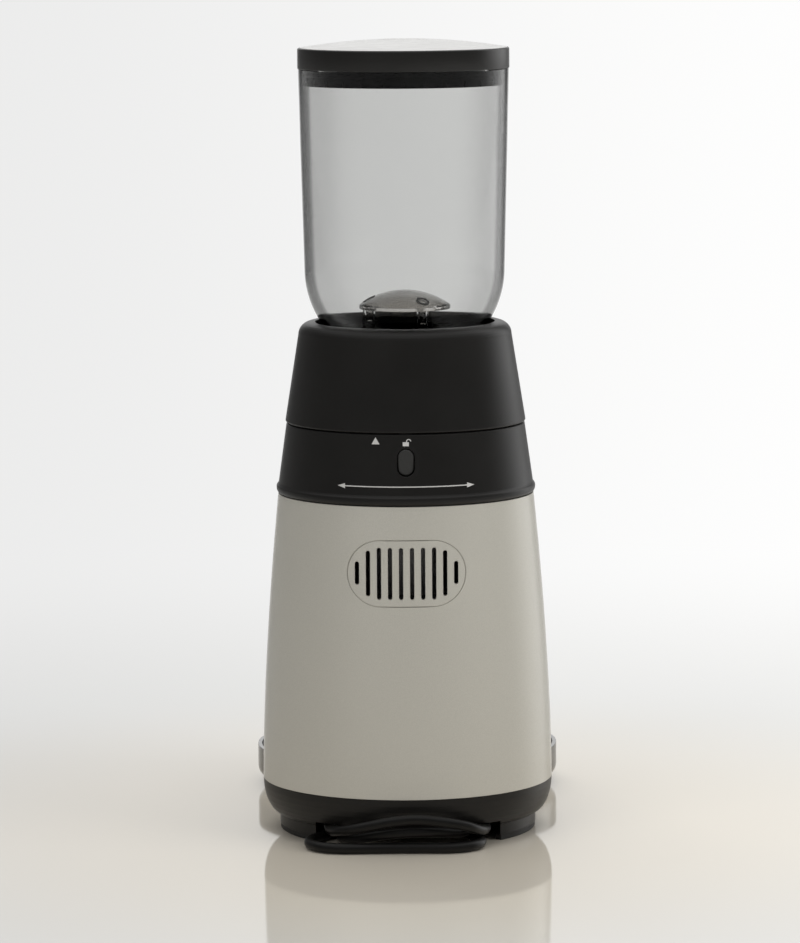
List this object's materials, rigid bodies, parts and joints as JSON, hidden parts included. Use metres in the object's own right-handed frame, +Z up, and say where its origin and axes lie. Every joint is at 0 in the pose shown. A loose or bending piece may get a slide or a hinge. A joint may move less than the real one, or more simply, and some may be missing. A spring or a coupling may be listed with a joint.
{
  "type": "electric burr grinder",
  "caption": "Electric burr grinder: round tapered body with clear hopper and lid, turning grind collar, geared motor drive, front spout head, grounds container and catch dish.",
  "frame": {"origin": "on the body's vertical axis at the surface that the grinder stands on", "axes": "+Z up; the front with spout head, container and dish faces -Y; the rear with vent grille and release button faces +Y"},
  "size_m": [0.1516, 0.2698, 0.3806],
  "materials": {
    "black_plastic": "fine satin texture",
    "soft_black": "matt",
    "silver_paint": "fine metallic satin lacquer",
    "button_grey": "satin",
    "smoke_clear": "clear smoke-tinted moulding",
    "guard_clear": "smoke-tinted moulding",
    "lid_silver": "satin",
    "dish_steel": "brushed",
    "steel": "turned",
    "zinc_steel": "zinc plated",
    "bronze": "sintered",
    "gear_nylon": "moulded",
    "grey_plastic": "moulded",
    "die_cast": "die cast",
    "burr_steel": "hardened, ground",
    "winding": "laminations and lacquered copper",
    "magnet": "ferrite",
    "board_green": "solder resist",
    "part_blue": "sleeve"
  },
  "bodies": {
    "casing": {"base_pan": "black_plastic", "rubber_feet": "soft_black", "base_screws": "zinc_steel", "strain_relief": "soft_black", "power_cord": "soft_black", "power_plug": "soft_black", "body_shell": "silver_paint", "vent_grille": "silver_paint", "upper_housing": "black_plastic", "lock_spring": "steel", "chassis_posts": "steel", "motor_can": "zinc_steel", "motor_end_cap": "grey_plastic", "motor_magnets": "magnet", "motor_bushes": "bronze", "motor_brushes": "magnet", "gearbox_base": "grey_plastic", "gearbox_cover": "grey_plastic", "idler_pin": "steel", "shaft_bearings": "steel", "chamber": "die_cast", "chamber_screws": "zinc_steel", "shaft_seal": "soft_black", "front_head": "black_plastic", "head_screws": "zinc_steel", "spout_chute": "grey_plastic", "timer_unit": "grey_plastic", "start_switch": "grey_plastic", "start_spring": "steel", "circuit_board": "board_green", "capacitor": "part_blue"},
    "collar": {"collar": "black_plastic", "adjust_ring": "grey_plastic"},
    "hopper": {"hopper": "smoke_clear", "bean_guard": "guard_clear"},
    "lid": {"lid_skirt": "black_plastic", "lid_plate": "lid_silver", "lid_plug": "black_plastic", "lid_seal": "soft_black"},
    "carrier": {"burr_carrier": "grey_plastic", "ring_burr": "burr_steel", "ring_burr_screws": "zinc_steel"},
    "burr": {"drive_shaft": "steel", "output_gear": "gear_nylon", "impeller": "gear_nylon", "cone_burr": "burr_steel", "burr_nut": "zinc_steel"},
    "idler": {"compound_gear": "gear_nylon"},
    "rotor": {"motor_rotor": "winding", "motor_shaft": "steel", "motor_pinion": "bronze", "cooling_fan": "grey_plastic"},
    "release": {"lock_button": "button_grey"},
    "start": {"start_button": "lid_silver"},
    "timer": {"timer_knob": "black_plastic"},
    "dish": {"front_dish": "dish_steel", "dish_plate": "soft_black", "dish_feet": "soft_black"},
    "container": {"grounds_container": "smoke_clear"},
    "container_lid": {"container_lid": "black_plastic"}
  },
  "joints": [
    {"name": "collar_turn", "type": "hinge", "parent": "casing", "child": "collar", "pos_m": [0, 0, 0.2], "axis": [0, 0, 1], "range_deg": [-75, 75]},
    {"name": "hopper_lift", "type": "slide", "parent": "collar", "child": "hopper", "axis": [0, 0, 1], "range_m": [0, 0.05]},
    {"name": "lid_lift", "type": "slide", "parent": "hopper", "child": "lid", "axis": [0, 0, 1], "range_m": [0, 0.04]},
    {"name": "burr_adjust", "type": "slide", "parent": "casing", "child": "carrier", "axis": [0, 0, 1], "range_m": [-0.0008, 0.0008]},
    {"name": "burr_spin", "type": "hinge", "parent": "casing", "child": "burr", "pos_m": [0, 0, 0.12], "axis": [0, 0, 1], "continuous": true},
    {"name": "idler_spin", "type": "hinge", "parent": "casing", "child": "idler", "pos_m": [0.024, 0, 0.1], "axis": [0, 0, 1], "continuous": true},
    {"name": "motor_spin", "type": "hinge", "parent": "casing", "child": "rotor", "pos_m": [0, 0, 0.06], "axis": [0, 0, 1], "continuous": true},
    {"name": "release_press", "type": "slide", "parent": "casing", "child": "release", "axis": [0, -1, 0], "range_m": [0, 0.0022], "stiffness_N_per_m": 300, "deforming": ["lock_spring"]},
    {"name": "start_press", "type": "slide", "parent": "casing", "child": "start", "axis": [0, 1, 0], "range_m": [0, 0.0018], "stiffness_N_per_m": 300, "deforming": ["start_spring"]},
    {"name": "timer_turn", "type": "hinge", "parent": "casing", "child": "timer", "pos_m": [0, -0.135, 0.162], "axis": [0, -1, 0], "range_deg": [-300, 0]},
    {"name": "dish_slide", "type": "slide", "parent": "casing", "child": "dish", "axis": [0, -1, 0], "range_m": [0, 0.05]},
    {"name": "container_slide", "type": "slide", "parent": "dish", "child": "container", "axis": [0, -1, 0], "range_m": [0, 0.09]},
    {"name": "container_lid_lift", "type": "slide", "parent": "container", "child": "container_lid", "axis": [0, 0, 1], "range_m": [0, 0.01]}
  ],
  "couplings": [
    {"joint": "burr_adjust", "follows": "collar_turn", "m_per_rad": 0.0006},
    {"joint": "idler_spin", "follows": "burr_spin", "ratio": -3},
    {"joint": "motor_spin", "follows": "burr_spin", "ratio": 12}
  ]
}
